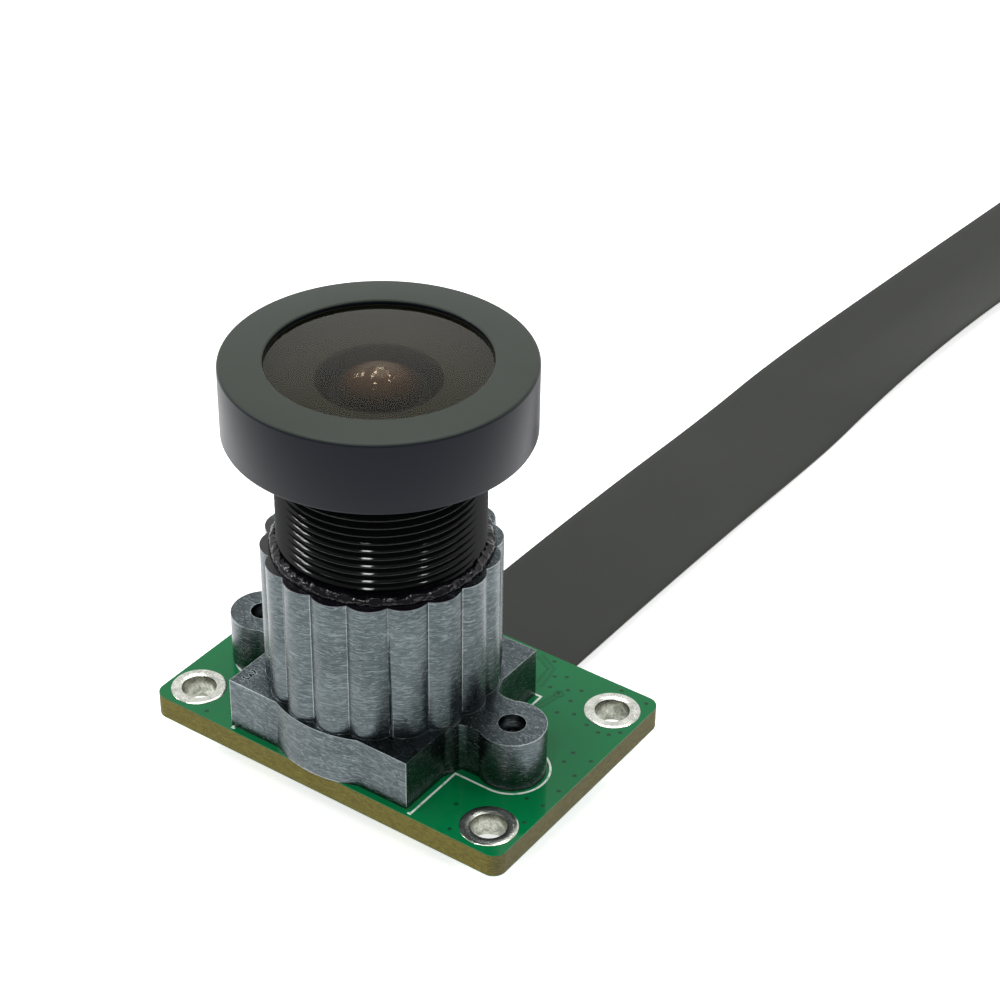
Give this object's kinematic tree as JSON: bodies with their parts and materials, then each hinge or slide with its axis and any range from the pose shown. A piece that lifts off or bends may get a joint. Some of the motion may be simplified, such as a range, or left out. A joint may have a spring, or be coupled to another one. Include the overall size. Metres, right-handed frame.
{
  "type": "camera module",
  "caption": "Board camera with a threaded lens in a scalloped cast holder, plated mounting holes and a flat ribbon cable from a connector under the board.",
  "frame": {"origin": "centre of the four mounting holes on the underside of the circuit board", "axes": "+Z out of the lens, +X along the long edge of the board, +Y towards the ribbon cable exit"},
  "size_m": [0.0248, 0.1644, 0.0274],
  "materials": {
    "board": "gloss",
    "plating": "satin",
    "cast_zinc": "satin",
    "screw_steel": "satin",
    "sensor": "gloss",
    "cover_glass": "gloss",
    "filter_glass": "gloss",
    "adhesive": "gloss",
    "barrel": "gloss",
    "front_cap": "satin",
    "front_glass": "gloss",
    "lens_glass": "gloss",
    "seal": "matt",
    "black_metal": "matt",
    "connector_body": "matt",
    "connector_slider": "matt",
    "contact_metal": "satin",
    "solder_metal": "satin",
    "ribbon": "matt",
    "stiffener": "matt",
    "oscillator": "satin",
    "package": "matt",
    "tantalum": "matt",
    "ceramic": "matt"
  },
  "bodies": {
    "module": {"aperture_stop": "black_metal", "ceramic_capacitor_1": "ceramic", "ceramic_capacitor_2": "ceramic", "ceramic_capacitor_3": "ceramic", "ceramic_capacitor_4": "ceramic", "ceramic_capacitor_5": "ceramic", "ceramic_capacitor_6": "ceramic", "circuit_board": "board", "clock_oscillator": "oscillator", "connector_contacts": "contact_metal", "connector_housing": "connector_body", "connector_tabs": "solder_metal", "element_retainer": "black_metal", "fifth_lens": "lens_glass", "fourth_lens": "lens_glass", "front_glass": "front_glass", "front_seal": "seal", "front_spacer": "black_metal", "holder_screw_1": "screw_steel", "holder_screw_2": "screw_steel", "image_sensor": "sensor", "infrared_filter": "filter_glass", "lens_barrel": "barrel", "lens_front_cap": "front_cap", "lens_holder": "cast_zinc", "memory_chip": "package", "middle_spacer": "black_metal", "mounting_hole_1": "plating", "mounting_hole_2": "plating", "mounting_hole_3": "plating", "mounting_hole_4": "plating", "rear_lens": "lens_glass", "rear_spacer": "black_metal", "resistor_1": "package", "resistor_2": "package", "resistor_3": "package", "resistor_4": "package", "ribbon_cable": "ribbon", "ribbon_far_contacts": "contact_metal", "ribbon_far_stiffener": "stiffener", "ribbon_near_stiffener": "stiffener", "second_lens": "lens_glass", "sensor_cover_glass": "cover_glass", "stop_spacer": "black_metal", "tantalum_capacitor_1": "tantalum", "tantalum_capacitor_2": "tantalum", "third_lens": "lens_glass", "thread_adhesive": "adhesive", "voltage_regulator_1": "package", "voltage_regulator_2": "package"},
    "lock": {"connector_lock": "connector_slider"}
  },
  "joints": [
    {"name": "connector_lock_slide", "type": "slide", "parent": "module", "child": "lock", "axis": [0, 1, 0], "range_m": [0, 0.001]}
  ]
}
